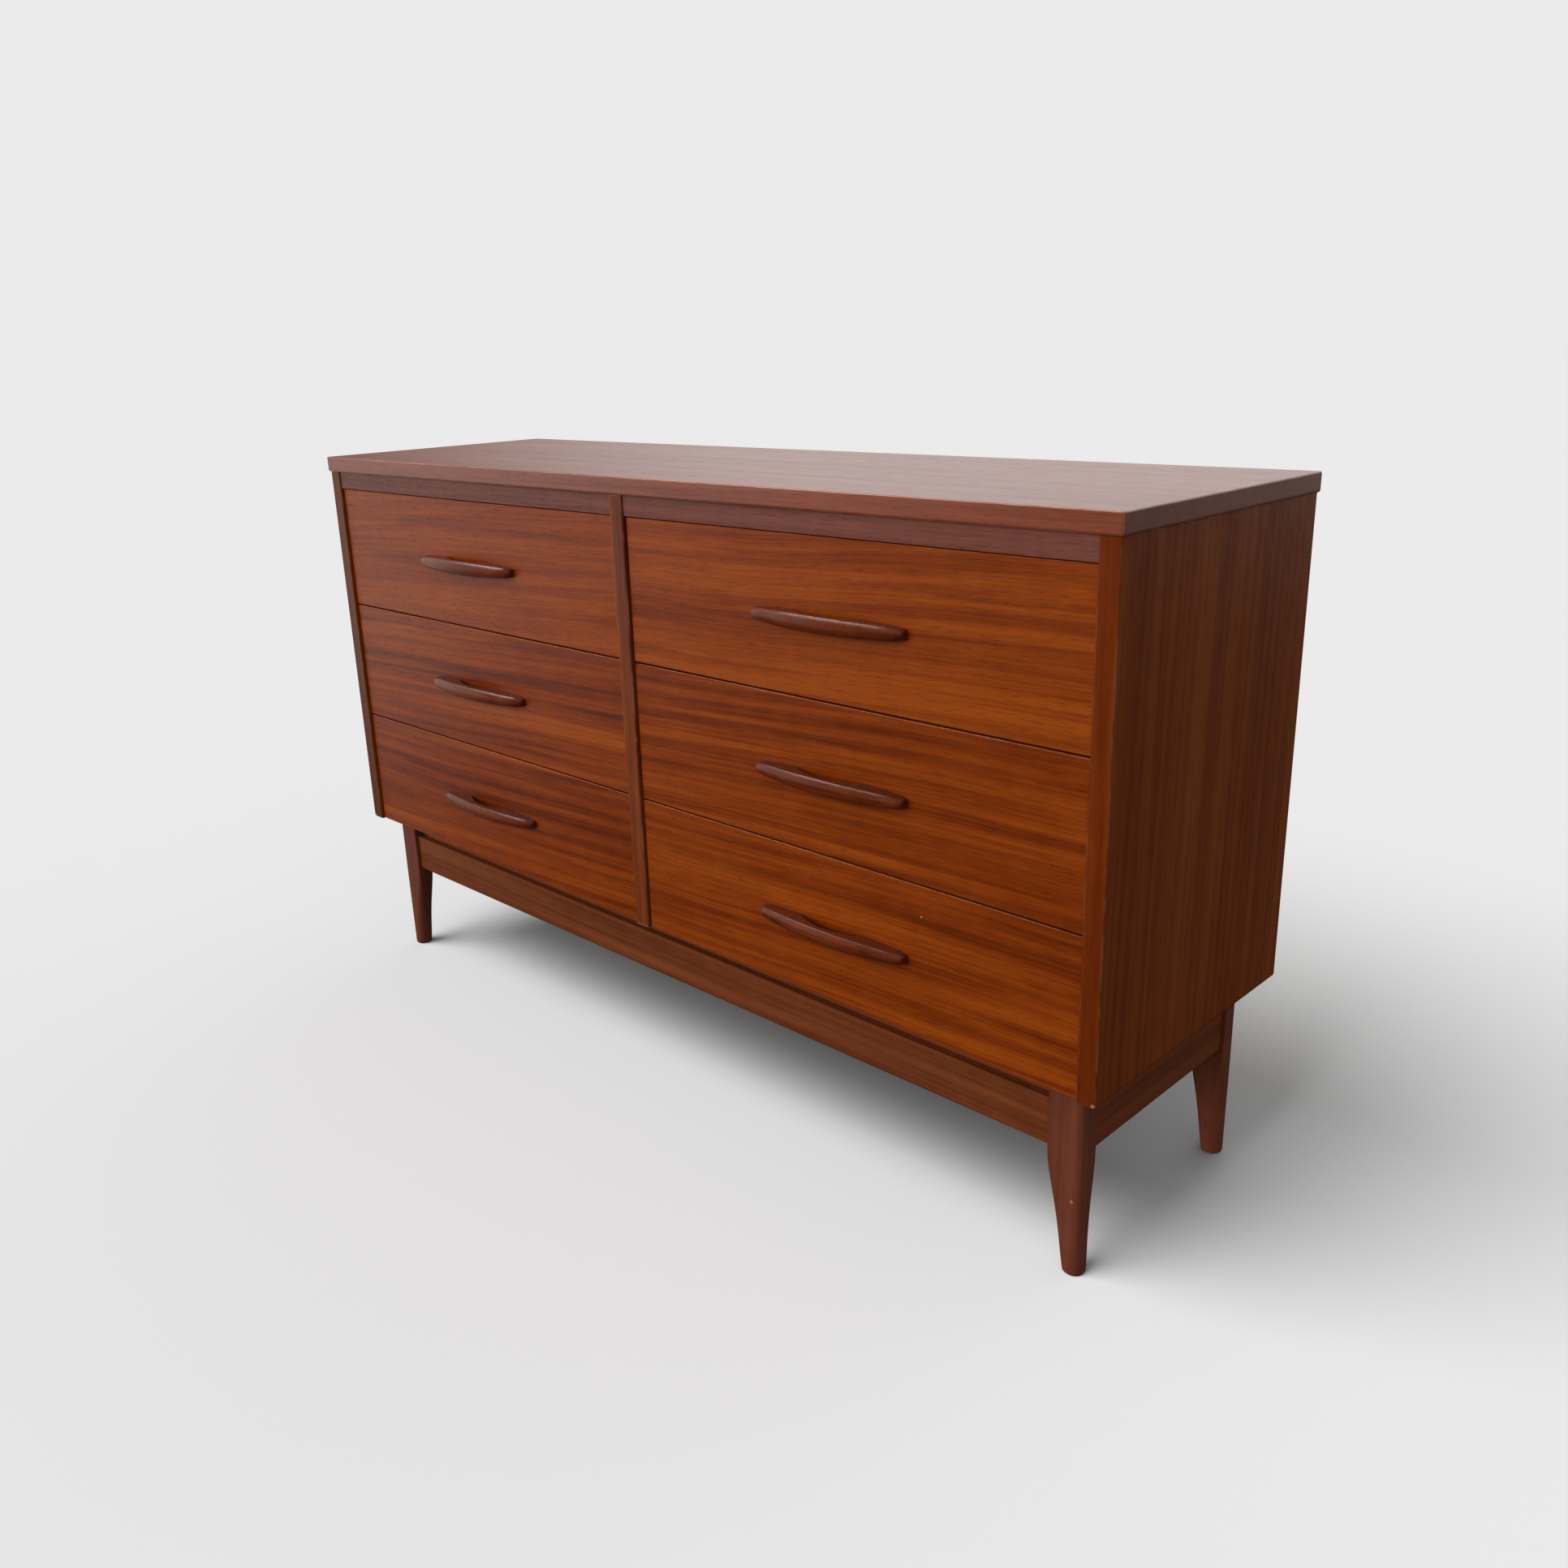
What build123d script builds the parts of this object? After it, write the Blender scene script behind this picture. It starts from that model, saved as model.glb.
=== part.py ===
from build123d import *
import os

# Low six-drawer dresser, in millimetres.
# X runs to the right, Y to the back and Z up. The floor is Z = 0, and the origin lies
# under the middle of the whole object, handles included.

# Top and case
top_width = 1320.0
top_depth = 378.0
top_thickness = 21.0
top_overhang = 3.0
top_upper_round = 1.5
top_lower_round = 3.0
case_height = 538.0
side_thickness = 22.0
side_front_round = 1.5
side_lower_round = 6.0
divider_thickness = 23.0
rail_height = 24.0
rail_thickness = 20.0
rail_setback = 2.0
bottom_thickness = 15.0
back_thickness = 6.0
rabbet_depth = 9.0

# Base
leg_height = 220.0
leg_width = 42.0
leg_depth = 25.0
leg_foot = 23.5
leg_foot_flat = 1.0
leg_inset_side = 27.0
leg_inset_front = 27.0
leg_inset_back = 27.0
leg_outer_round = 9.0
leg_inner_round = 2.0
leg_foot_round = 2.5
leg_taper_height = 123.0
apron_height = 55.0
apron_thickness = 18.0
apron_setback = 5.0
apron_drop = 28.0
apron_tongue = 8.0
apron_lower_round = 4.0
tenon_length = 16.0
tenon_thickness = 9.0
tenon_shoulder = 9.0
tenon_play = 0.1
corner_block_leg = 62.0
corner_block_lift = 8.0

# Drawers
row_names = ("lower", "middle", "upper")
drawer_setback = 4.0
drawer_gap = 2.0
drawer_side_gap = 1.5
front_clearance = 2.0
front_thickness = 20.0
front_round = 1.0
box_side_thickness = 12.0
box_back_thickness = 12.0
box_bottom_thickness = 5.0
box_floor_clearance = 3.0
box_head_room = 14.0
box_rear_gap = 16.0
box_back_inset = 8.0
box_back_step = 6.0
box_dado_depth = 4.0
bottom_groove_lift = 12.0
bottom_groove_depth = 5.0
bottom_groove_play = 0.2
tail_count = 3
tail_lap = 13.0
tail_root_share = 0.52
tail_flare = 2.0

# Runners
runner_height = 12.0
runner_reach = 6.0
runner_rest_gap = 0.25
runner_lower_play = 0.75
runner_side_play = 0.5
runner_stop_gap = 0.5
groove_stop_length = 10.0

# Handles and their screws
handle_length = 208.0
handle_projection = 25.0
handle_end_projection = 12.0
handle_tip_projection = 5.0
handle_rise = 8.0
handle_end_rise = 5.0
handle_tip_rise = 3.0
handle_drop = 10.5
handle_end_drop = 7.0
handle_tip_drop = 5.0
handle_rim_setback = 3.6
handle_end_length = 10.0
handle_gap_length = 100.0
handle_gap_depth = 15.5
handle_gap_round = 12.0
screw_diameter = 4.0
screw_head_diameter = 8.0
screw_head_height = 2.4
screw_grip = 11.0
screw_hole_play = 0.15

# Places worked out from the sizes above
case_width = top_width - 2 * top_overhang
case_depth = top_depth - 2 * top_overhang
case_bottom = leg_height
case_top = case_bottom + case_height
front_reach = max(handle_projection - drawer_setback, top_overhang)
front_y = (front_reach - case_depth - top_overhang) / 2
back_y = front_y + case_depth
inner_back_y = back_y - back_thickness
side_outer_x = case_width / 2
side_inner_x = side_outer_x - side_thickness
divider_face_x = divider_thickness / 2
column_width = side_inner_x - divider_face_x
column_x = divider_face_x + column_width / 2
drawer_pitch = (case_height - rail_height) / len(row_names)
drawer_face_y = front_y + drawer_setback
drawer_back_face_y = drawer_face_y + front_thickness
floor_front_y = drawer_back_face_y + front_clearance

front_width = column_width - 2 * drawer_side_gap
front_height = drawer_pitch - drawer_gap
box_lift = bottom_thickness + box_floor_clearance
box_side_height = front_height - box_lift - box_head_room
box_length = case_depth - back_thickness - drawer_setback - box_rear_gap
box_inner_x = front_width / 2 - box_side_thickness
groove_depth = runner_reach + runner_side_play
groove_top_z = box_lift + (box_side_height + runner_height) / 2 + runner_rest_gap
groove_bottom_z = groove_top_z - runner_rest_gap - runner_height - runner_lower_play
groove_front_y = front_thickness + groove_stop_length
bottom_z = box_lift + bottom_groove_lift
box_back_y = box_length - box_back_inset
handle_z = front_height / 2
screw_x = (handle_length + handle_gap_length) / 4

leg_outer_x = side_outer_x - leg_inset_side
leg_inner_x = leg_outer_x - leg_width
leg_front_y = front_y + leg_inset_front
leg_inner_y = leg_front_y + leg_depth
base_middle_y = (leg_front_y + back_y - leg_inset_back) / 2
apron_outer_x = leg_outer_x - apron_setback
apron_inner_x = apron_outer_x - apron_thickness
apron_front_y = leg_front_y + apron_setback
apron_inner_y = apron_front_y + apron_thickness
apron_top = leg_height - apron_drop
apron_bottom = apron_top - apron_height


def block(x0, x1, y0, y1, z0, z1):
    centre = Pos((x0 + x1) / 2, (y0 + y1) / 2, (z0 + z1) / 2)
    return centre * Box(x1 - x0, y1 - y0, z1 - z0)


def edges_at(part, axis, **place):
    # Edges along an axis whose middle lies at the given coordinates
    chosen = part.edges().filter_by(axis)
    for name, value in place.items():
        chosen = chosen.filter_by(lambda edge: abs(getattr(edge.center(), name) - value) < 0.01)
    return chosen


def to_left(part):
    return mirror(part, about=Plane.YZ)


def to_rear(part):
    return mirror(part, about=Plane.XZ.offset(-base_middle_y))


def front_bottom(row):
    return case_bottom + drawer_gap / 2 + row * drawer_pitch


# Case

def make_top_panel():
    half = top_width / 2
    y0 = front_y - top_overhang
    y1 = back_y + top_overhang
    panel = block(-half, half, y0, y1, case_top, case_top + top_thickness)
    panel = fillet(panel.edges().filter_by(Axis.Z), top_lower_round)
    panel = fillet(panel.faces().sort_by(Axis.Z)[-1].edges(), top_upper_round)
    return fillet(panel.faces().sort_by(Axis.Z)[0].edges(), top_lower_round)


def make_side_panel():
    # Right panel, with rabbets on its inner face for the bottom and the back
    x0 = side_inner_x
    rabbet_x = x0 + rabbet_depth
    floor_top = case_bottom + bottom_thickness
    panel = block(x0, side_outer_x, front_y, back_y, case_bottom, case_top)
    panel = fillet(edges_at(panel, Axis.Y, X=side_outer_x, Z=case_bottom), side_lower_round)
    panel = fillet(panel.faces().sort_by(Axis.Y)[0].edges(), side_front_round)
    floor_rabbet = block(x0, rabbet_x, floor_front_y, back_y, case_bottom, floor_top)
    back_rabbet = block(x0, rabbet_x, inner_back_y, back_y, case_bottom, case_top)
    return panel - floor_rabbet - back_rabbet


def make_centre_divider():
    # Its front edge reaches down past the bottom panel, and the rest stands on that panel
    x1 = divider_face_x
    floor_top = case_bottom + bottom_thickness
    divider = block(-x1, x1, front_y, inner_back_y, case_bottom, case_top)
    divider = fillet(edges_at(divider, Axis.Z, Y=front_y), side_front_round)
    return divider - block(-x1, x1, floor_front_y, inner_back_y, case_bottom, floor_top)


def make_bottom_panel():
    half = side_inner_x + rabbet_depth
    floor_top = case_bottom + bottom_thickness
    return block(-half, half, floor_front_y, inner_back_y, case_bottom, floor_top)


def make_back_panel():
    half = side_inner_x + rabbet_depth
    return block(-half, half, inner_back_y, back_y, case_bottom, case_top)


def make_top_rail():
    # Right rail, between the divider and the right side panel
    y0 = front_y + rail_setback
    z0 = case_top - rail_height
    rail = block(divider_face_x, side_inner_x, y0, y0 + rail_thickness, z0, case_top)
    return fillet(edges_at(rail, Axis.X, Y=y0, Z=z0), front_round)


def make_runners():
    # One strip on each side of every drawer, lying in the groove of its box side
    strips = []
    reach = drawer_side_gap + runner_reach
    y0 = drawer_face_y + groove_front_y + runner_stop_gap
    for row in range(len(row_names)):
        z1 = front_bottom(row) + groove_top_z - runner_rest_gap
        z0 = z1 - runner_height
        on_divider = block(divider_face_x, divider_face_x + reach, y0, inner_back_y, z0, z1)
        on_side = block(side_inner_x - reach, side_inner_x, y0, inner_back_y, z0, z1)
        strips += [on_divider, on_side, to_left(on_divider), to_left(on_side)]
    return Compound(children=strips)


# Base

def leg_section(height):
    # Level cut with the outer corner at the origin: a block at the top, all but round at the foot
    share = min(height / leg_taper_height, 1.0)
    width = leg_foot + (leg_width - leg_foot) * share
    depth = leg_foot + (leg_depth - leg_foot) * share
    foot_round = (leg_foot - leg_foot_flat) / 2
    outer_round = foot_round + (leg_outer_round - foot_round) * share
    inner_round = foot_round + (leg_inner_round - foot_round) * share**3
    cut = Pos(-width / 2, depth / 2) * Rectangle(width, depth)
    cut = fillet(cut.vertices().sort_by_distance((0, 0))[0], outer_round)
    inner_corners = cut.vertices().filter_by(lambda v: v.X < 0.01 - width or v.Y > depth - 0.01)
    return Pos(0, 0, height) * fillet(inner_corners, inner_round)


def make_leg():
    # Front right leg: the outer faces stay upright and the inner ones run in towards the foot
    heights = [leg_taper_height * share for share in (0, 0.3, 0.6, 0.9)] + [apron_bottom]
    leg = loft([leg_section(height) for height in heights])
    leg += extrude(leg_section(apron_bottom), leg_height - apron_bottom)
    leg = fillet(leg.faces().sort_by(Axis.Z)[0].edges(), leg_foot_round)
    leg = Pos(leg_outer_x, leg_front_y, 0) * leg
    return leg - front_tenon(tenon_play) - side_tenon(tenon_play)


def front_tenon(play):
    # Right tenon of the front apron, or its mortise when play is given
    y_mid = (apron_front_y + apron_inner_y) / 2
    half = tenon_thickness / 2 + play
    z0 = apron_bottom + tenon_shoulder - play
    z1 = apron_top - tenon_shoulder + play
    return block(leg_inner_x, leg_inner_x + tenon_length + play, y_mid - half, y_mid + half, z0, z1)


def side_tenon(play):
    # Front tenon of the right apron, or its mortise when play is given
    x_mid = (apron_outer_x + apron_inner_x) / 2
    half = tenon_thickness / 2 + play
    z0 = apron_bottom + tenon_shoulder - play
    z1 = apron_top - tenon_shoulder + play
    return block(x_mid - half, x_mid + half, leg_inner_y - tenon_length - play, leg_inner_y, z0, z1)


def make_front_apron():
    # Its back edge stands up as a thin tongue that closes the dark gap under the case
    rail = block(-leg_inner_x, leg_inner_x, apron_front_y, apron_inner_y, apron_bottom, apron_top)
    rail = fillet(edges_at(rail, Axis.X, Y=apron_front_y, Z=apron_bottom), apron_lower_round)
    tongue_y = apron_inner_y - apron_tongue
    tongue = block(-leg_inner_x, leg_inner_x, tongue_y, apron_inner_y, apron_top, case_bottom)
    tenon = front_tenon(0)
    return rail + tongue + tenon + to_left(tenon)


def make_side_apron():
    rear_y = 2 * base_middle_y - leg_inner_y
    rail = block(apron_inner_x, apron_outer_x, leg_inner_y, rear_y, apron_bottom, apron_top)
    rail = fillet(edges_at(rail, Axis.Y, X=apron_outer_x, Z=apron_bottom), apron_lower_round)
    tongue_x = apron_inner_x + apron_tongue
    tongue = block(apron_inner_x, tongue_x, leg_inner_y, rear_y, apron_top, case_bottom)
    tenon = side_tenon(0)
    return rail + tongue + tenon + to_rear(tenon)


def make_corner_blocks():
    # Glued into the corner of two aprons, notched round the leg and screwed to the case
    plan = Polygon(
        (leg_inner_x, apron_inner_y),
        (leg_inner_x, leg_inner_y),
        (apron_inner_x, leg_inner_y),
        (apron_inner_x, leg_inner_y + corner_block_leg),
        (leg_inner_x - corner_block_leg, apron_inner_y),
        align=None,
    )
    z0 = apron_bottom + corner_block_lift
    corner = Pos(0, 0, z0) * extrude(plan, case_bottom - z0)
    front_pair = [corner, to_left(corner)]
    return Compound(children=front_pair + [to_rear(part) for part in front_pair])


# One drawer, from the middle of its front face: y = 0 is that face, z = 0 its lower edge

def make_tails():
    # Dovetail tails of the right box side, wider towards the front face
    pitch = box_side_height / tail_count
    root = pitch * tail_root_share / 2
    tip = root + tail_flare
    tip_y = front_thickness - tail_lap
    tails = []
    for place in range(tail_count):
        z = box_lift + (place + 0.5) * pitch
        outline = Polygon(
            (front_thickness, z - root),
            (front_thickness, z + root),
            (tip_y, z + tip),
            (tip_y, z - tip),
            align=None,
        )
        tails.append(Pos(box_inner_x, 0, 0) * extrude(Plane.YZ * outline, box_side_thickness))
    return tails


def bottom_groove():
    # Groove for the drawer bottom, running through the front and both box sides
    half = box_inner_x + bottom_groove_depth
    y0 = front_thickness - bottom_groove_depth
    z1 = bottom_z + box_bottom_thickness + bottom_groove_play
    return block(-half, half, y0, box_length, bottom_z, z1)


def make_drawer_front():
    half = front_width / 2
    front = block(-half, half, 0, front_thickness, 0, front_height)
    front = fillet(front.faces().sort_by(Axis.Y)[0].edges(), front_round)
    front -= bottom_groove()
    for tail in make_tails():
        front = front - tail - to_left(tail)
    hole = Cylinder(screw_diameter / 2 + screw_hole_play, 3 * front_thickness)
    for x in (-screw_x, screw_x):
        front -= Pos(x, 0, handle_z) * Rot(90, 0, 0) * hole
    return front


def make_box_side():
    # Right side of the box: tails, runner groove outside, bottom groove and dado inside
    x1 = front_width / 2
    top_z = box_lift + box_side_height
    side = block(box_inner_x, x1, front_thickness, box_length, box_lift, top_z)
    for tail in make_tails():
        side += tail
    groove = block(x1 - groove_depth, x1, groove_front_y, box_length, groove_bottom_z, groove_top_z)
    dado_y = box_back_y - box_back_thickness
    dado = block(box_inner_x, box_inner_x + box_dado_depth, dado_y, box_back_y, bottom_z, top_z)
    return side - groove - dado - bottom_groove()


def make_box_back():
    half = box_inner_x + box_dado_depth
    z0 = bottom_z + box_bottom_thickness
    z1 = box_lift + box_side_height - box_back_step
    return block(-half, half, box_back_y - box_back_thickness, box_back_y, z0, z1)


def make_box_bottom():
    half = box_inner_x + bottom_groove_depth - bottom_groove_play
    y0 = front_thickness - bottom_groove_depth + bottom_groove_play
    return block(-half, half, y0, box_back_y, bottom_z, bottom_z + box_bottom_thickness)


def handle_section(x):
    # Upright cut through the handle: flat back, top and underside, and a round front under a rim
    half = handle_length / 2
    bow = (x / half) ** 2
    into_end = max(0, abs(x) - half + handle_end_length) / handle_end_length
    full = (1 - into_end**2) ** 0.5

    def size(middle, end, tip):
        return tip + (middle + (end - middle) * bow - tip) * full

    reach = size(handle_projection, handle_end_projection, handle_tip_projection)
    top = size(handle_rise, handle_end_rise, handle_tip_rise)
    bottom = -size(handle_drop, handle_end_drop, handle_tip_drop)
    rim = (handle_rim_setback - reach, top)
    front = (-reach, (top + bottom) / 2)
    under = (-reach / 2, bottom)
    edges = [
        Polyline(under, (0, bottom), (0, top), rim),
        TangentArc(front, rim, tangent=(0, 1)),
        TangentArc(front, under, tangent=(0, -1)),
    ]
    return Pos(x, 0, 0) * (Plane.YZ * make_face(Curve() + edges))


def make_handle():
    # Carved bow, slimmer at the tips, with flat feet at both ends and a finger gap between them
    half = handle_length / 2
    shoulder = half - handle_end_length
    stations = [shoulder * share for share in (0, 0.25, 0.5, 0.75, 1)]
    stations += [shoulder + handle_end_length * share for share in (0.4, 0.7, 0.9, 1)]
    places = [-x for x in reversed(stations[1:])] + stations
    bow = loft([handle_section(x) for x in places])
    bow &= extrude(finger_gap_plan(), handle_projection, both=True)
    pilot = Cylinder(screw_diameter / 2 + screw_hole_play, 2 * screw_grip + 1)
    for x in (-screw_x, screw_x):
        bow -= Pos(x, 0, 0) * Rot(90, 0, 0) * pilot
    return Pos(0, 0, handle_z) * bow


def finger_gap_plan():
    # Everything in front of the drawer but the finger gap, whose ends run out in an S to the feet
    gap = handle_gap_length / 2
    far = handle_length
    gap_edge = ThreePointArc((-gap, 0), (0, -handle_gap_depth), (gap, 0))
    rest = Polyline((gap, 0), (far, 0), (far, -far), (-far, -far), (-far, 0), (-gap, 0))
    plan = make_face(Curve() + [gap_edge, rest])
    gap_ends = plan.vertices().filter_by(lambda v: abs(v.X) < gap + 0.01)
    return fillet(gap_ends, handle_gap_round)


def make_handle_screws():
    # Head inside the drawer, shank through the front into the foot of the handle
    length = front_thickness + screw_grip
    shank = Pos(0, 0, -length / 2) * Cylinder(screw_diameter / 2, length)
    head = Pos(0, 0, screw_head_height / 2) * Cylinder(screw_head_diameter / 2, screw_head_height)
    head = chamfer(head.edges().sort_by(Axis.Z)[-1], screw_head_height / 2)
    screw = Rot(-90, 0, 0) * (shank + head)
    return Compound(
        children=[Pos(x, front_thickness, handle_z) * screw for x in (-screw_x, screw_x)]
    )


def save(name, part):
    export_step(part, f"parts/{name}.step")


def save_case():
    side = make_side_panel()
    rail = make_top_rail()
    save("top_panel", make_top_panel())
    save("side_panel_right", side)
    save("side_panel_left", to_left(side))
    save("centre_divider", make_centre_divider())
    save("bottom_panel", make_bottom_panel())
    save("back_panel", make_back_panel())
    save("top_rail_right", rail)
    save("top_rail_left", to_left(rail))
    save("drawer_runners", make_runners())


def save_base():
    leg = make_leg()
    front_apron = make_front_apron()
    side_apron = make_side_apron()
    save("leg_front_right", leg)
    save("leg_front_left", to_left(leg))
    save("leg_rear_right", to_rear(leg))
    save("leg_rear_left", to_left(to_rear(leg)))
    save("apron_front", front_apron)
    save("apron_rear", to_rear(front_apron))
    save("apron_right", side_apron)
    save("apron_left", to_left(side_apron))
    save("corner_blocks", make_corner_blocks())


def save_drawers():
    side = make_box_side()
    pieces = {
        "front": make_drawer_front(),
        "side_right": side,
        "side_left": to_left(side),
        "back": make_box_back(),
        "bottom": make_box_bottom(),
        "handle": make_handle(),
        "handle_screws": make_handle_screws(),
    }
    for row, row_name in enumerate(row_names):
        for column, column_name in ((-1, "left"), (1, "right")):
            place = Pos(column * column_x, drawer_face_y, front_bottom(row))
            for piece, part in pieces.items():
                save(f"drawer_{row_name}_{column_name}_{piece}", place * part)


os.makedirs("parts", exist_ok=True)
save_case()
save_base()
save_drawers()
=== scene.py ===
import math

import bpy
from mathutils import Matrix, Vector


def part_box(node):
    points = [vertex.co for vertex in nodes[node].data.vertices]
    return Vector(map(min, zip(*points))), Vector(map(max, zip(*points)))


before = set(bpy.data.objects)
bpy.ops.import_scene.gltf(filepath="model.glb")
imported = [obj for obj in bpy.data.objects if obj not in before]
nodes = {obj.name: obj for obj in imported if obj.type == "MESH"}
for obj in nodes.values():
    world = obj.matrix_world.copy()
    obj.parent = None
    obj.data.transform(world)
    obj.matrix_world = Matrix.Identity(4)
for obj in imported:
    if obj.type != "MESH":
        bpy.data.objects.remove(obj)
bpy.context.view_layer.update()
scene = bpy.context.scene
axes = {"X": (1, 0, 0), "Y": (0, 1, 0), "Z": (0, 0, 1)}
print("stage: loaded", len(nodes), "pieces")


# A socket that can stand in a Python expression; each operation adds its node.
class Wire:
    def __init__(self, graph, socket):
        self.graph = graph
        self.socket = socket

    def __add__(self, other):
        return self.graph.math("ADD", self, other)

    def __radd__(self, other):
        return self.graph.math("ADD", other, self)

    def __sub__(self, other):
        return self.graph.math("SUBTRACT", self, other)

    def __rsub__(self, other):
        return self.graph.math("SUBTRACT", other, self)

    def __mul__(self, other):
        return self.graph.math("MULTIPLY", self, other)

    def __rmul__(self, other):
        return self.graph.math("MULTIPLY", other, self)

    def __abs__(self):
        return self.graph.math("ABSOLUTE", self)

    def least(self, other):
        return self.graph.math("MINIMUM", self, other)

    def most(self, other):
        return self.graph.math("MAXIMUM", self, other)

    # 0 below low, 1 above high and smooth between; swapped limits turn it round
    def rise(self, low, high):
        limits = {"From Min": low, "From Max": high, "Value": self}
        return self.graph.node("ShaderNodeMapRange", {"interpolation_type": "SMOOTHSTEP"}, limits)

    # a value between 0 and 1 as a swing about its middle
    def swing(self):
        return self - 0.5


# A node tree; node() makes every kind of node, and the other methods are short ways to call it.
class Graph:
    def __init__(self, tree):
        self.tree = tree
        tree.nodes.clear()

    def node(self, kind, settings=None, sockets=None, out=0):
        made = self.tree.nodes.new(kind)
        for key, value in (settings or {}).items():
            if key == "stops":
                while len(made.color_ramp.elements) < len(value):
                    made.color_ramp.elements.new(1.0)
                for element, (place, colour) in zip(made.color_ramp.elements, value):
                    element.position = place
                    element.color = (*colour, 1.0)
            else:
                setattr(made, key, value)
        for key, value in (sockets or {}).items():
            if isinstance(value, Wire):
                self.tree.links.new(value.socket, made.inputs[key])
            else:
                made.inputs[key].default_value = value
        return Wire(self, made.outputs[out]) if made.outputs else None

    def math(self, operation, first, second=0.0):
        return self.node("ShaderNodeMath", {"operation": operation}, {0: first, 1: second})

    def vector(self, operation, first, second, out=0):
        return self.node("ShaderNodeVectorMath", {"operation": operation}, {0: first, 1: second}, out)

    def dot(self, first, second):
        return self.vector("DOT_PRODUCT", first, second, "Value")

    # on a mix of colours, socket 0 is the share, 6 and 7 are the colours, and output 2 is the result
    def blend(self, share, first, second, how="MIX"):
        settings = {"data_type": "RGBA", "blend_type": how}
        colours = [c if isinstance(c, Wire) else (*c, 1.0) for c in (first, second)]
        return self.node("ShaderNodeMix", settings, {0: share, 6: colours[0], 7: colours[1]}, 2)

    # size is how many blotches fit in a metre: one number, or one for each axis
    def noise(self, place, size, detail=1.0):
        sizes = [size] * 3 if isinstance(size, float) else size
        stretched = self.vector("MULTIPLY", place, sizes)
        return self.node("ShaderNodeTexNoise", {}, {"Vector": stretched, "Scale": 1.0, "Detail": detail})

    # the shader that ends the tree, and its output
    def surface(self, shader, sockets, output="ShaderNodeOutputMaterial"):
        self.node(output, {}, {"Surface": self.node(shader, {}, sockets)})


def newMaterial(name):
    material = bpy.data.materials.new(name)
    material.use_nodes = True
    return material, Graph(material.node_tree)


def putInScene(name, data):
    thing = bpy.data.objects.new(name, data)
    scene.collection.objects.link(thing)
    return thing


# The camera stands where the fit on the photograph's corners puts it. Angles are in degrees.
camera = {
    "place": (1.2389, -1.1748, 0.9196),
    "azimuth": 45.06,
    "elevation": 17.80,
    "roll": -1.894,
    "sensor": 36.0,
    "lens": 31.117,
    "shift": (0.00846, -0.00445),
    "nearest": 0.01,
    "farthest": 400.0,
}
azimuth = math.radians(camera["azimuth"])
elevation = math.radians(camera["elevation"])
forward = Vector((-math.sin(azimuth), math.cos(azimuth), -math.tan(elevation))).normalized()
rightward = Vector((math.cos(azimuth), math.sin(azimuth), 0.0))
upward = rightward.cross(forward)
turn = Matrix((rightward, upward, -forward)).transposed().to_4x4()
roll = Matrix.Rotation(math.radians(camera["roll"]), 4, "Z")
eye = putInScene("camera", bpy.data.cameras.new("camera"))
eye.matrix_world = Matrix.Translation(camera["place"]) @ turn @ roll
eye.data.sensor_width = camera["sensor"]
eye.data.lens = camera["lens"]
eye.data.shift_x, eye.data.shift_y = camera["shift"]
eye.data.clip_start = camera["nearest"]
eye.data.clip_end = camera["farthest"]
scene.camera = eye
scene.view_settings.view_transform = "Standard"
print("stage: camera")

# A broad low lamp at the front left, in a dim room with glowing walls. The floor has a high lamp of
# its own, which gives the shadow. A glow fades in between two cosines of the angle to its side.
light = {
    "pale": 0.823,  # what the camera sees of the room
    "dim": 0.06,  # what lights the object where nothing glows
    "glows": [
        {"side": (-0.93, -0.35, 0.10), "fade": (0.78, 0.97), "level": 1.00},  # left wall
        {"side": (-0.15, 0.98, 0.10), "fade": (0.54, 0.82), "level": 0.80},  # wall behind
        {"side": (0.55, 0.05, 0.83), "fade": (0.05, 0.90), "level": 0.50},  # ceiling on the right
        {"side": (0.35, -0.85, 0.35), "fade": (0.50, 0.95), "level": 0.35},  # wall in front
    ],
    "window": {"side": (-0.60, -0.33, 0.71), "fade": (0.95, 0.99), "level": 9.0},
    "lamps": {
        "front light": {"from": (-0.52, -0.83, 0.20), "strength": 2.05, "angle": 40.0},
        "floor light": {"from": (-0.25, -0.51, 0.82), "strength": 4.9, "angle": 44.0},
    },
}
world = bpy.data.worlds.new("studio")
world.use_nodes = True
scene.world = world
sky = Graph(world.node_tree)
heading = sky.node("ShaderNodeTexCoord", out="Generated")


def glowing(glow):
    facing = sky.dot(heading, Vector(glow["side"]).normalized())
    return facing.rise(*glow["fade"]) * glow["level"]


level = light["dim"]
for glow in light["glows"]:
    level = level + glowing(glow)
# the window, high on the left, shows only as a glint on the polish
mirrored = sky.node("ShaderNodeLightPath", out="Is Glossy Ray")
level = level + glowing(light["window"]) * mirrored
seen = sky.node("ShaderNodeLightPath", out="Is Camera Ray")
glare = seen * light["pale"] + (1.0 - seen) * level
sky.surface("ShaderNodeBackground", {"Color": (1, 1, 1, 1), "Strength": glare}, "ShaderNodeOutputWorld")
lamps = {}
for name, lamp in light["lamps"].items():
    sun = putInScene(name, bpy.data.lights.new(name, "SUN"))
    sun.data.energy = lamp["strength"]
    sun.data.angle = math.radians(lamp["angle"])
    sun.rotation_mode = "QUATERNION"
    sun.rotation_quaternion = Vector(lamp["from"]).to_track_quat("Z", "Y")
    lamps[name] = sun
print("stage: light")

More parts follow.
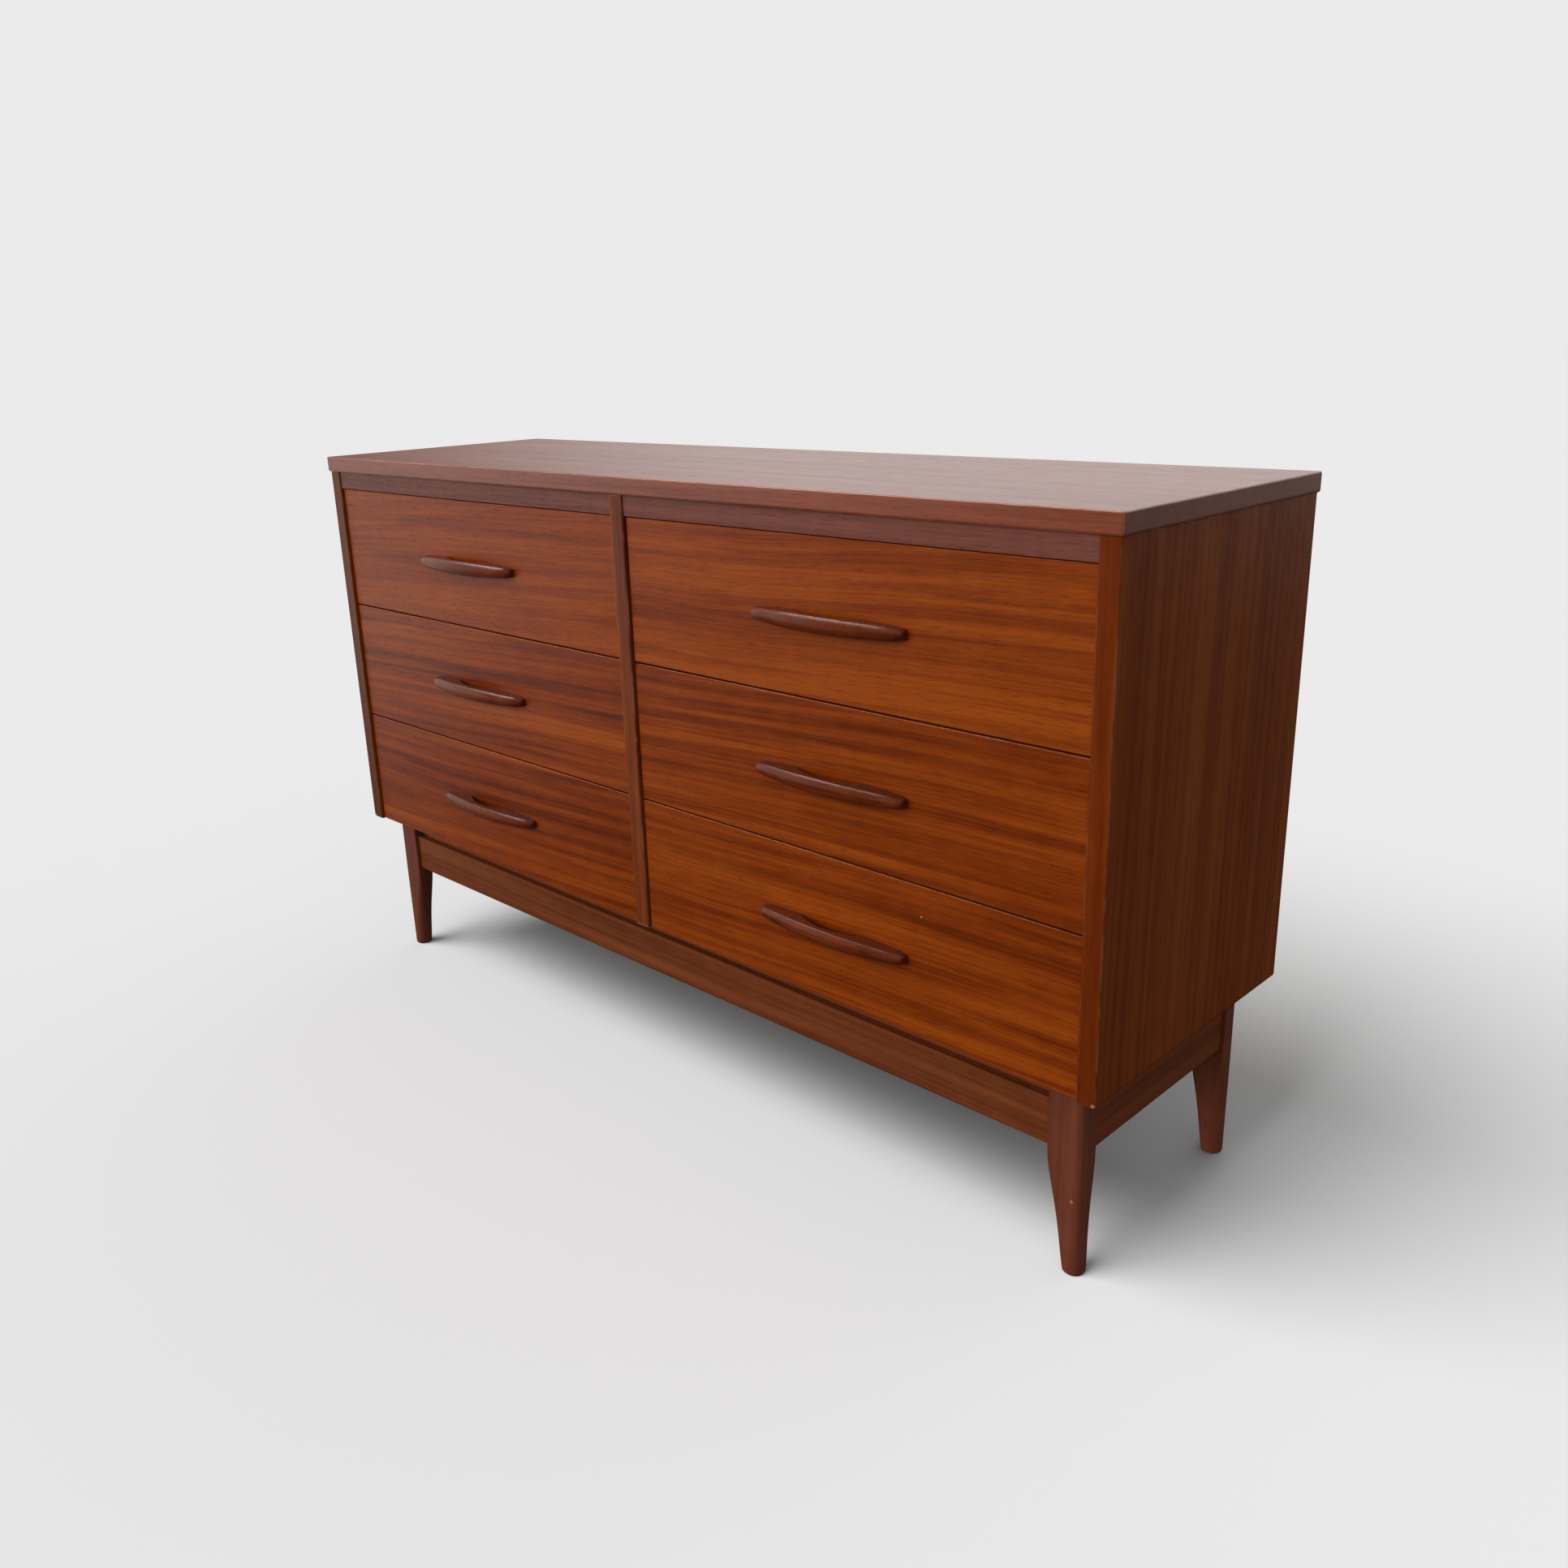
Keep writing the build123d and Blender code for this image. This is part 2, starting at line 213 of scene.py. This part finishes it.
# The floor is pale to the camera. To other rays it is dull near the object, so the wood keeps
# its depth, and pale out to the left: a painted pool of window light there, which the polish mirrors.
floor = {
    "half": 150.0,
    "pale": (0.444, 0.444, 0.444),
    "dull": (0.024, 0.024, 0.024),
    "leftward": (-1.0, 0.5, 0.0),
    "fade": (0.2, 2.6),
}
half = floor["half"]
corners = [(-half, -half, 0), (half, -half, 0), (half, half, 0), (-half, half, 0)]
floorMesh = bpy.data.meshes.new("floor")
floorMesh.from_pydata(corners, [], [(0, 1, 2, 3)])
floorPiece = putInScene("floor", floorMesh)
floorPaint, floorGraph = newMaterial("floor")
looked = floorGraph.node("ShaderNodeLightPath", out="Is Camera Ray")
groundSpot = floorGraph.node("ShaderNodeTexCoord", out="Object")
# the painted pool of window light lies out to the left, and only rays other than the camera's see it
leftward = floorGraph.dot(groundSpot, floor["leftward"])
lit = looked.most(leftward.rise(*floor["fade"]))
groundColour = floorGraph.blend(lit, floor["dull"], floor["pale"])
floorGraph.surface("ShaderNodeBsdfDiffuse", {"Color": groundColour})
floorMesh.materials.append(floorPaint)

# one lamp lights the floor alone, and the other lights all but the floor and isn't mirrored itself
ground = bpy.data.collections.new("ground")
ground.objects.link(floorPiece)
lamps["floor light"].light_linking.receiver_collection = ground
others = bpy.data.collections.new("all but the ground")
others.objects.link(floorPiece)
others.collection_objects[0].light_linking.link_state = "EXCLUDE"
lamps["front light"].light_linking.receiver_collection = others
lamps["front light"].visible_glossy = False
print("stage: floor")

# What all the wood shares: the layers of its grain, their part in colour, roughness and height, and
# how end grain, front edges, wear and marks fade in.
grain = {
    "wander": (1.7, 2.4),
    "broad": {"along": 0.9, "detail": 1.0, "fade": (0.26, 0.74)},
    "band": {"along": 1.7, "detail": 1.0, "fade": (0.26, 0.74)},
    "streak": {"along": 6.0, "across": 340.0, "detail": 2.0, "fade": (0.30, 0.70)},
    "pores": {"along": 55.0, "across": 1100.0, "detail": 1.0, "fade": (0.57, 0.70)},
    "mottle": {"along": 28.0, "across": 40.0, "detail": 2.0, "fade": (0.30, 0.70)},
    "colour": {"broad": 0.50, "band": 0.62, "mottle": 0.10},
    "rough": {"pores": 0.12, "streak": 0.05, "mottle": 0.04},
    "height": {"pores": 0.65, "streak": 0.35, "mottle": 0.20},
    "relief": 0.0005,
    "mid at": 0.45,  # where the mid colour stands between dark and light
    "pore shade": 0.45,
    "ends": {"fade": (0.80, 0.95), "share": 0.75, "shade": 0.55},
    "speckle": {"size": 900.0, "fade": (0.35, 0.65)},
    "front": (0.55, 0.90),
    "rubbed": (0.0022, 0.0004),  # metres from the edge of the board
    "patches": {"size": 38.0, "detail": 3.0, "fade": (0.40, 0.66)},
    "ragged": {"size": 260.0, "detail": 2.0},
    "mark core": 0.55,
}


# How far a spot lies from the nearest edge of a box, which is where two faces meet.
def edgeDistance(graph, spot, box):
    low, high = box
    middle = [(a + b) / 2 for a, b in zip(low, high)]
    offset = graph.vector("SUBTRACT", spot, middle)
    parts = [graph.dot(offset, axis) for axis in axes.values()]
    depths = [(b - a) / 2 - abs(part) for a, b, part in zip(low, high, parts)]
    smaller = depths[0].least(depths[1])
    larger = depths[0].most(depths[1])
    return smaller.most(larger.least(depths[2]))


def shade(colour, share):
    return [c * share for c in colour]


# Ribbon-striped wood: broad soft bands, thin streaks and pores, all drawn out along the grain.
# Given the box of a board, its edges are rubbed paler.
def ribbonWood(name, look, box=None):
    material, graph = newMaterial(name)
    alongAxis = axes[look["along"]]
    acrossAxis = axes[look["across"]]
    spot = graph.node("ShaderNodeTexCoord", out="Object")

    def drawn(along, across):
        return [along if a else across for a in alongAxis]

    # the pattern turns about the axis through the board, and then wanders across the grain
    angle = math.radians(look["tilt"])
    tilt = [0.0 if axis in (look["along"], look["across"]) else angle for axis in axes]
    placing = {"Vector": spot, "Location": look["seed"], "Rotation": tilt}
    placed = graph.node("ShaderNodeMapping", {}, placing)
    wander = graph.noise(placed, drawn(*grain["wander"])).swing() * look["sway"]
    swaying = {0: acrossAxis, "Scale": wander}
    sway = graph.node("ShaderNodeVectorMath", {"operation": "SCALE"}, swaying)
    bent = graph.vector("ADD", placed, sway)

    def layer(kind, across=None):
        part = grain[kind]
        size = drawn(part["along"], across or part["across"])
        return graph.noise(bent, size, part["detail"]).rise(*part["fade"])

    broad = layer("broad", look["broad"])
    band = layer("band", look["band"])
    streak = layer("streak")
    pores = layer("pores")
    mottle = layer("mottle")
    ribbon = (
        broad.swing() * (grain["colour"]["broad"] * look["figure"])
        + band.swing() * (grain["colour"]["band"] * look["figure"])
        + streak.swing() * look["streak"]
        + mottle.swing() * grain["colour"]["mottle"]
        + look["level"]
    )
    stops = [(0.0, look["dark"]), (grain["mid at"], look["mid"]), (1.0, look["light"])]
    wood = graph.node("ShaderNodeValToRGB", {"stops": stops}, {"Fac": ribbon})
    wood = graph.blend(pores * look["pores"], wood, shade(look["dark"], grain["pore shade"]))

    # ends of the board show darker, open grain
    ends = grain["ends"]
    facing = graph.node("ShaderNodeNewGeometry", out="Normal")
    endwise = abs(graph.dot(facing, alongAxis)).rise(*ends["fade"])
    speckle = graph.noise(spot, grain["speckle"]["size"]).rise(*grain["speckle"]["fade"])
    endDark = shade(look["dark"], ends["shade"])
    endColour = graph.blend(speckle, endDark, shade(look["mid"], look["end"]))
    wood = graph.blend(endwise * ends["share"], wood, endColour)

    # faces of a board that look to the front are multiplied darker by its edge colour
    # on the top this keeps the face's painted light off the front edge; on the left side it is a painted
    # grey sheen
    if "edge" in look:
        frontal = graph.dot(facing, (0, -1, 0)).rise(*grain["front"])
        wood = graph.blend(frontal, wood, graph.blend(1.0, wood, look["edge"], "MULTIPLY"))

    if box:
        patches = grain["patches"]
        patchy = graph.noise(spot, patches["size"], patches["detail"]).rise(*patches["fade"])
        worn = edgeDistance(graph, spot, box).rise(*grain["rubbed"]) * patchy * look["wear"]
        wood = graph.blend(worn, wood, look["worn"])

    for mark in look.get("marks", []):
        size = mark["size"]
        away = graph.vector("DISTANCE", spot, mark["place"], "Value")
        ragged = graph.noise(spot, grain["ragged"]["size"], grain["ragged"]["detail"]).swing()
        within = (away + ragged * size).rise(size, size * grain["mark core"])
        wood = graph.blend(within * mark["share"], wood, mark["colour"])

    rough = (
        look["rough"]
        + pores * grain["rough"]["pores"]
        + streak.swing() * grain["rough"]["streak"]
        + mottle.swing() * grain["rough"]["mottle"]
    )
    height = (
        streak * grain["height"]["streak"]
        - pores * grain["height"]["pores"]
        + mottle * grain["height"]["mottle"]
    )
    raised = {"Strength": look["bump"], "Distance": grain["relief"], "Height": height}
    finish = {
        "Base Color": wood,
        "Roughness": rough,
        "Specular IOR Level": look["shine"],
        "Coat Weight": look["coat"],
        "Coat Roughness": look["coat rough"],
        "Normal": graph.node("ShaderNodeBump", {}, raised),
    }
    graph.surface("ShaderNodeBsdfPrincipled", finish)
    return material


def paint(name, material):
    piece = nodes[name]
    piece.data.materials.clear()
    piece.data.materials.append(material)


def boxOf(name):
    low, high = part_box(name)
    return [list(low), list(high)]


# A board with wood of its own, worn along its own edges.
def paintBoard(name, woodName, look):
    paint(name, ribbonWood(woodName, look, boxOf(name)))


# Wood of the case: the palette is shared, and each piece changes what differs.
caseLook = {
    "along": "Z",
    "across": "Y",
    "tilt": 0.0,  # degrees
    "sway": 0.020,  # metres
    "broad": 30.0,  # broad stripes in a metre
    "band": 95.0,  # narrow stripes in a metre
    "figure": 0.7,  # contrast of both
    "streak": 0.28,
    "pores": 0.40,
    "level": 0.45,  # from 0 for dark to 1 for light
    "dark": (0.115, 0.021, 0.0050),
    "mid": (0.205, 0.042, 0.0085),
    "light": (0.300, 0.070, 0.0140),
    "end": 1.0,  # palest end grain as a share of mid
    "worn": (0.420, 0.190, 0.0900),
    "wear": 0.5,
    "rough": 0.42,
    "shine": 0.30,
    "coat": 0.0,
    "coat rough": 0.30,
    "bump": 0.18,
}

# The top is redder, and its satin finish catches the pale room behind it.
# Its palette is paler than the case's: painted light on the face, which the low front lamp hardly
# reaches.
topLook = {
    **caseLook,
    "along": "X",
    "seed": (3.1, 0.4, 0.2),
    "tilt": 1.2,
    "figure": 0.8,
    # the front edge is multiplied darker, so the painted light stays on the face
    "edge": (0.73, 0.62, 0.60),
    "end": 0.45,
    "dark": (0.200, 0.046, 0.0170),
    "mid": (0.315, 0.083, 0.0340),
    "light": (0.420, 0.119, 0.0510),
    "rough": 0.40,
    "shine": 0.50,
    "coat": 0.51,
    "coat rough": 0.24,
}
paintBoard("top_panel", "top wood", topLook)

# The left side's darker front edge is painted sheen; the right has a painted corner highlight and a worn
# spot.
sideLook = {
    **caseLook,
    "seed": (0.7, 1.3, 2.1),
    "tilt": 0.8,
    "figure": 0.58,
    "streak": 0.15,
    "pores": 0.24,
    "wear": 0.25,
    "dark": (0.120, 0.020, 0.0030),
    "mid": (0.190, 0.039, 0.0040),
    "light": (0.255, 0.070, 0.0110),
    "rough": 0.31,
    "shine": 0.20,
}
# a painted highlight on the rounded bottom edge at the right side's front corner
cornerHighlight = {
    "place": (0.6565, -0.1765, 0.2210),
    "size": 0.0055,
    "share": 0.60,
    "colour": (0.62, 0.40, 0.28),
}
edgeRub = {
    "place": (0.6315, -0.1770, 0.5920),
    "size": 0.0040,
    "share": 0.35,
    "colour": (0.34, 0.13, 0.05),
}
sides = {
    # the left edge colour paints a darker, greyer sheen at the far left
    "left": {"edge": (0.60, 0.56, 0.60)},
    "right": {"edge": (0.87, 0.67, 0.57), "marks": [cornerHighlight, edgeRub]},
}
for side, own in sides.items():
    paintBoard("side_panel_" + side, "side wood " + side, {**sideLook, **own})

dividerLook = {**caseLook, "seed": (1.9, 0.2, 1.4), "level": 0.34, "rough": 0.36, "shine": 0.28}
paintBoard("centre_divider", "divider wood", dividerLook)

# The rails are paler and pinker than the case wood: painted light in the shade under the top's overhang.
railLook = {
    **caseLook,
    "along": "X",
    "across": "Z",
    "seed": (0.3, 2.2, 0.8),
    "figure": 0.45,
    "dark": (0.108, 0.032, 0.0205),
    "mid": (0.187, 0.058, 0.0385),
    "light": (0.250, 0.079, 0.0530),
}
railWood = ribbonWood("rail wood", railLook)
for side in sides:
    paint("top_rail_" + side, railWood)
print("stage: case")

# Each drawer front has its own sheet of veneer.
frontLook = {
    **caseLook,
    "along": "X",
    "across": "Z",
    "sway": 0.030,
    "dark": (0.110, 0.0150, 0.0010),
    "mid": (0.225, 0.0350, 0.0015),
    "light": (0.350, 0.0680, 0.0040),
    "wear": 0.12,
    "rough": 0.33,
}
frontSpeck = {
    "place": (0.4452, -0.173, 0.3569),
    "size": 0.0012,
    "share": 0.9,
    "colour": (0.60, 0.42, 0.28),
}
sheets = {
    "upper_left": {
        "seed": (2.3, 0.1, 0.5),
        "tilt": 2.0,
        "figure": 0.60,
        "broad": 22.0,
        "band": 70.0,
        "level": 0.58,
    },
    "middle_left": {
        "seed": (5.1, 0.6, 1.7),
        "tilt": 2.4,
        "figure": 0.95,
        "broad": 30.0,
        "band": 85.0,
        "level": 0.48,
    },
    "lower_left": {
        "seed": (7.7, 1.2, 2.9),
        "tilt": 2.2,
        "figure": 0.84,
        "broad": 28.0,
        "band": 80.0,
        "level": 0.47,
    },
    "upper_right": {
        "seed": (9.4, 1.9, 3.3),
        "tilt": 1.6,
        "figure": 0.66,
        "broad": 24.0,
        "band": 78.0,
        "level": 0.64,
    },
    "middle_right": {
        "seed": (12.2, 2.7, 4.1),
        "tilt": 1.9,
        "figure": 0.80,
        "broad": 28.0,
        "band": 86.0,
        "level": 0.46,
    },
    "lower_right": {
        "seed": (15.8, 3.5, 5.6),
        "tilt": 1.7,
        "figure": 0.84,
        "broad": 26.0,
        "band": 80.0,
        "level": 0.44,
        "marks": [frontSpeck],
    },
}
for place, sheet in sheets.items():
    paintBoard(f"drawer_{place}_front", "front wood " + place, {**frontLook, **sheet})
print("stage: drawer fronts")

handleLook = {
    **caseLook,
    "along": "X",
    "across": "Z",
    "seed": (0.9, 4.2, 0.1),
    "sway": 0.010,
    "figure": 0.5,
    "broad": 60.0,
    "band": 160.0,
    "dark": (0.080, 0.012, 0.0020),
    "mid": (0.140, 0.023, 0.0045),
    "light": (0.195, 0.037, 0.0090),
    "rough": 0.24,
    "shine": 0.24,
}
handleWood = ribbonWood("handle wood", handleLook)

# Secondary wood of the boxes is paler and plainer than the show wood.
boxLook = {
    **caseLook,
    "along": "Y",
    "across": "Z",
    "seed": (0.2, 0.9, 6.3),
    "figure": 0.5,
    "dark": (0.290, 0.165, 0.0750),
    "mid": (0.410, 0.255, 0.1250),
    "light": (0.520, 0.350, 0.1900),
    "rough": 0.60,
}
boxWood = ribbonWood("box side wood", boxLook)
boxBackWood = ribbonWood("box back wood", {**boxLook, "along": "X"})
boardLook = {
    **boxLook,
    "along": "X",
    "across": "Y",
    "seed": (4.4, 0.3, 0.6),
    "figure": 0.8,
    "broad": 14.0,
    "band": 40.0,
    "dark": (0.330, 0.200, 0.1000),
    "mid": (0.440, 0.285, 0.1500),
    "light": (0.540, 0.375, 0.2150),
}
boardWood = ribbonWood("board wood", boardLook)

steelLook = {
    "colour": (0.42, 0.40, 0.37, 1.0),
    "metal": 1.0,
    "rough": 0.30,
    "grit": 0.25,
    "size": 700.0,
    "detail": 2.0,
}
steel, steelGraph = newMaterial("screw steel")
steelSpot = steelGraph.node("ShaderNodeTexCoord", out="Object")
grit = steelGraph.noise(steelSpot, steelLook["size"], steelLook["detail"])
steelFinish = {
    "Base Color": steelLook["colour"],
    "Metallic": steelLook["metal"],
    "Roughness": steelLook["rough"] + grit * steelLook["grit"],
}
steelGraph.surface("ShaderNodeBsdfPrincipled", steelFinish)

drawerFinishes = {
    "handle": handleWood,
    "handle_screws": steel,
    "side_left": boxWood,
    "side_right": boxWood,
    "back": boxBackWood,
    "bottom": boardWood,
}
for place in sheets:
    for piece, material in drawerFinishes.items():
        paint(f"drawer_{place}_{piece}", material)
print("stage: handles and boxes")

legLook = {
    **caseLook,
    "across": "X",
    "seed": (1.1, 0.8, 0.4),
    "sway": 0.010,
    "figure": 0.35,
    "streak": 0.16,
    "pores": 0.24,
    "broad": 45.0,
    "band": 130.0,
    "dark": (0.096, 0.024, 0.0120),
    "mid": (0.165, 0.043, 0.0220),
    "light": (0.228, 0.063, 0.0330),
    "rough": 0.38,
}
legSpeck = {
    "place": (0.6191, -0.150, 0.0878),
    "size": 0.0022,
    "share": 0.8,
    "colour": (0.45, 0.24, 0.18),
}
legWood = ribbonWood("leg wood", {**legLook, "marks": [legSpeck]})
for end in ("front", "rear"):
    for side in sides:
        paint(f"leg_{end}_{side}", legWood)
apronLook = {
    **legLook,
    "along": "X",
    "across": "Z",
    "seed": (2.6, 0.3, 1.8),
    "figure": 0.7,
    "dark": (0.100, 0.024, 0.0075),
    "mid": (0.177, 0.044, 0.0130),
    "light": (0.245, 0.064, 0.0205),
    "shine": 0.20,
}
apronWood = ribbonWood("apron wood", apronLook)
sideApronWood = ribbonWood("side apron wood", {**apronLook, "along": "Y"})
for end in ("front", "rear"):
    paint("apron_" + end, apronWood)
for side in sides:
    paint("apron_" + side, sideApronWood)
blockWood = ribbonWood("block wood", {**boxLook, "along": "Z", "across": "X"})
paint("corner_blocks", blockWood)
paint("drawer_runners", boxWood)
paint("bottom_panel", boardWood)
backLook = {**boardLook, "along": "Z", "across": "X", "seed": (0.5, 7.1, 0.2)}
paint("back_panel", ribbonWood("back board", backLook))
print("stage: base and inside")
